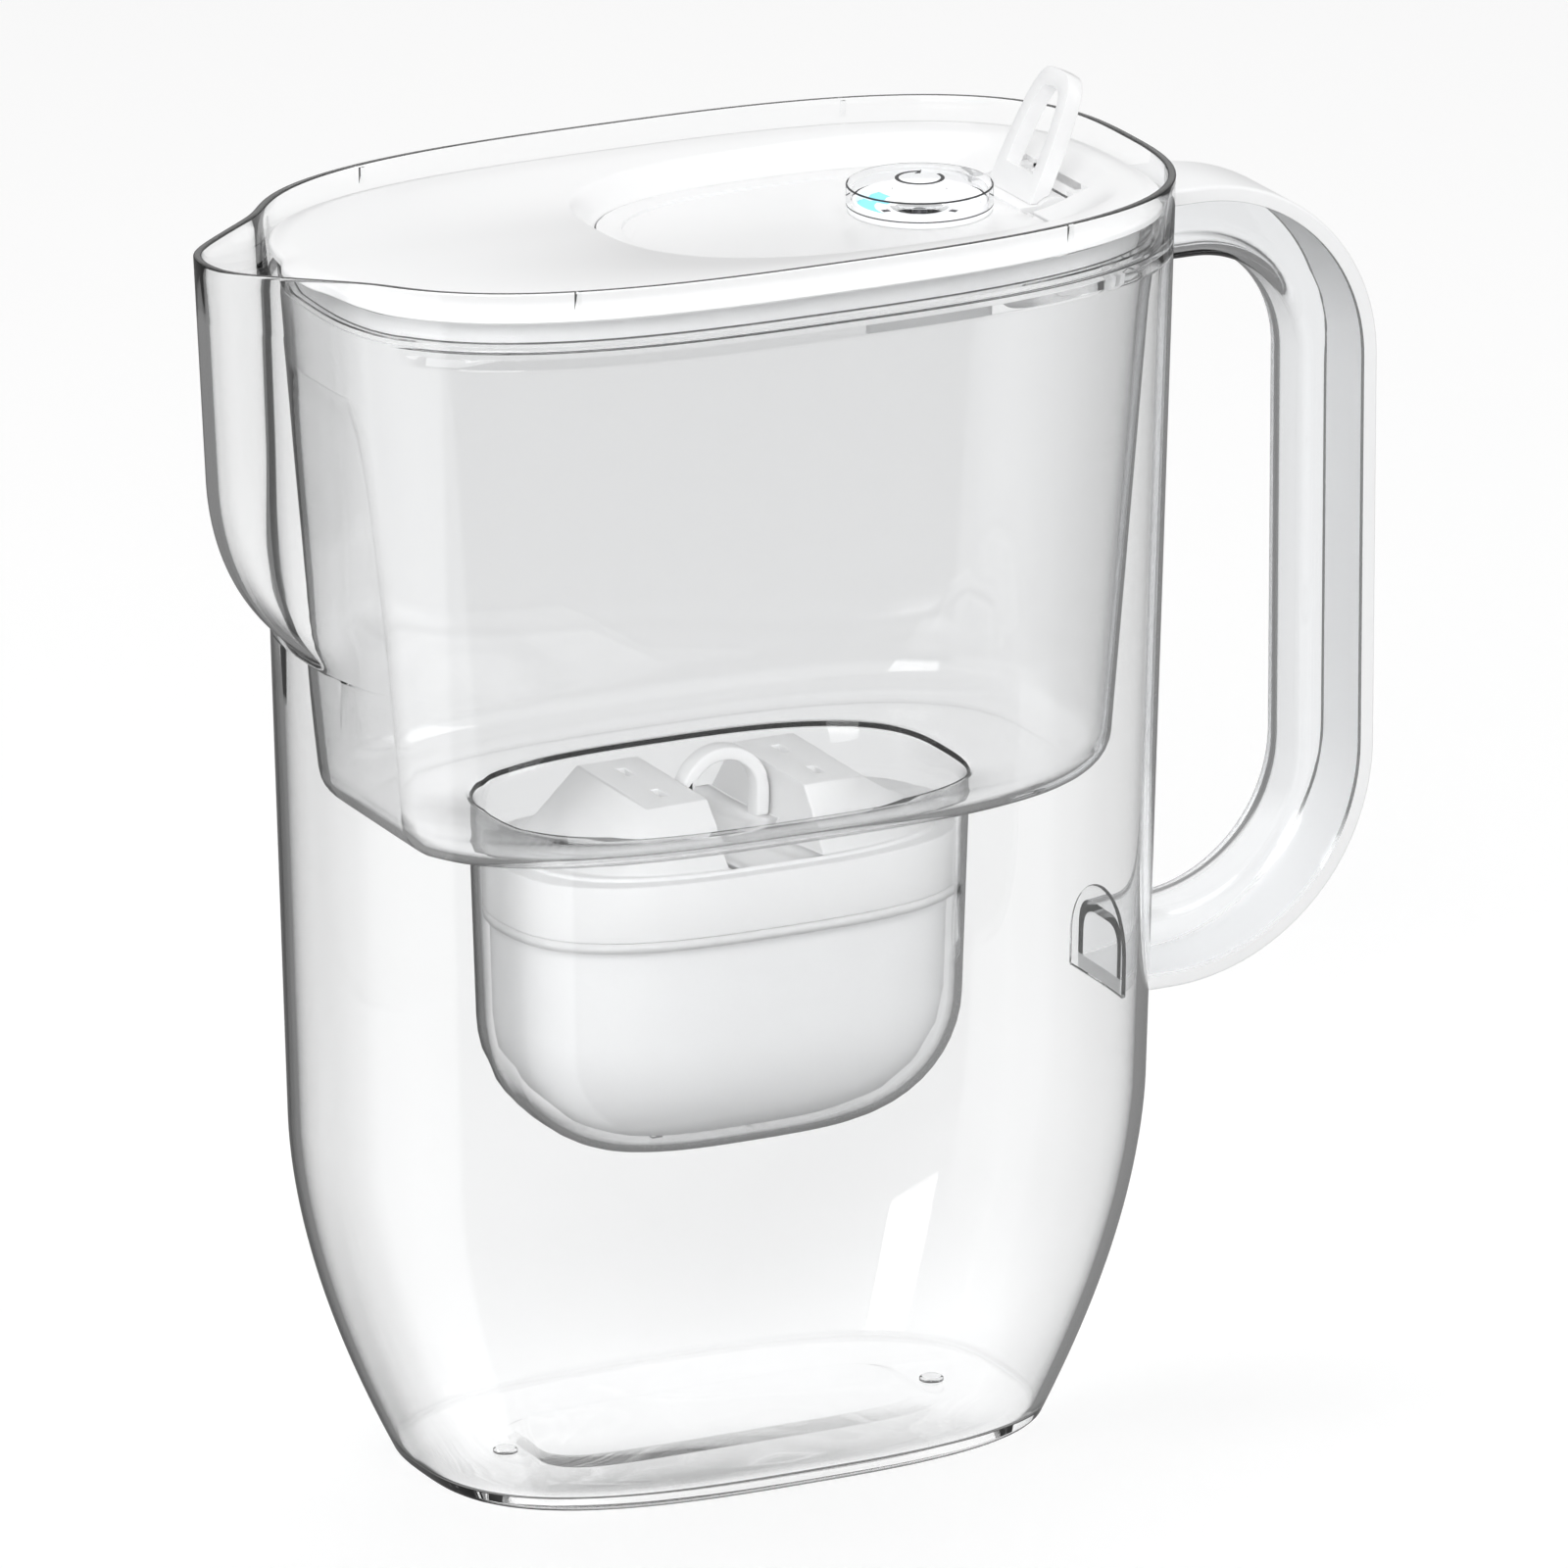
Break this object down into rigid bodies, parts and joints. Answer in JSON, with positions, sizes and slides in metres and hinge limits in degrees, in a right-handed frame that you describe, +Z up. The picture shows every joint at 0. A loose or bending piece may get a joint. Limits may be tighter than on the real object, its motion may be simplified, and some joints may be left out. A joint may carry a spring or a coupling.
{
  "type": "water filter pitcher",
  "caption": "Clear water filter pitcher with a white lid, a flip-up fill flap with a thumb loop, a change indicator and a filter cartridge",
  "frame": {"origin": "Centre of the base, on the surface that the pitcher stands on", "axes": "+Z up, the spout points to -X, the handle to +X, and the side that faces the camera is -Y"},
  "size_m": [0.267, 0.1156, 0.2876],
  "materials": {
    "clear_jug": "clear, polished",
    "clear_funnel": "clear, polished",
    "clear_button": "clear, polished",
    "white_plastic": "satin white",
    "lid_white": "glossy white",
    "milky_plastic": "milky, matte",
    "seal_rubber": "soft, matte",
    "filter_grains": "granular",
    "pin_steel": "drawn wire",
    "dial_print": "printed film",
    "board_green": "lacquered board",
    "dark_plastic": "moulded, dark",
    "cell_steel": "pressed can"
  },
  "bodies": {
    "jug": {"jug_body": "clear_jug", "handle_channel": "clear_jug", "handle_cover": "white_plastic"},
    "funnel": {"funnel": "clear_funnel"},
    "cartridge": {"cartridge_cap": "white_plastic", "cartridge_loop": "white_plastic", "cartridge_shell": "milky_plastic", "cartridge_seal": "seal_rubber", "upper_screen": "milky_plastic", "filter_media": "filter_grains", "lower_screen": "milky_plastic"},
    "lid": {"lid_plate": "lid_white", "lid_latches": "lid_white", "hinge_pin": "pin_steel"},
    "flap": {"flap_panel": "lid_white", "thumb_lever": "lid_white", "indicator_housing": "white_plastic", "indicator_dial": "dial_print", "indicator_board": "board_green", "indicator_leds": "dark_plastic", "reset_switch": "dark_plastic", "coin_cell": "cell_steel", "battery_cover": "white_plastic", "battery_seal": "seal_rubber"},
    "button": {"indicator_button": "clear_button"}
  },
  "joints": [
    {"name": "funnel_lift", "type": "slide", "parent": "jug", "child": "funnel", "axis": [0, 0, 1], "range_m": [0, 0.21]},
    {"name": "lid_lift", "type": "slide", "parent": "funnel", "child": "lid", "axis": [0, 0, 1], "range_m": [0, 0.08]},
    {"name": "cartridge_lift", "type": "slide", "parent": "funnel", "child": "cartridge", "axis": [0, 0, 1], "range_m": [0, 0.08]},
    {"name": "flap_hinge", "type": "hinge", "parent": "lid", "child": "flap", "pos_m": [0.073, 0, 0.258], "axis": [0, 1, 0], "range_deg": [0, 40]},
    {"name": "button_press", "type": "slide", "parent": "flap", "child": "button", "axis": [0, 0, -1], "range_m": [0, 0.0006], "stiffness_N_per_m": 1500, "springref_m": -0.0003}
  ]
}
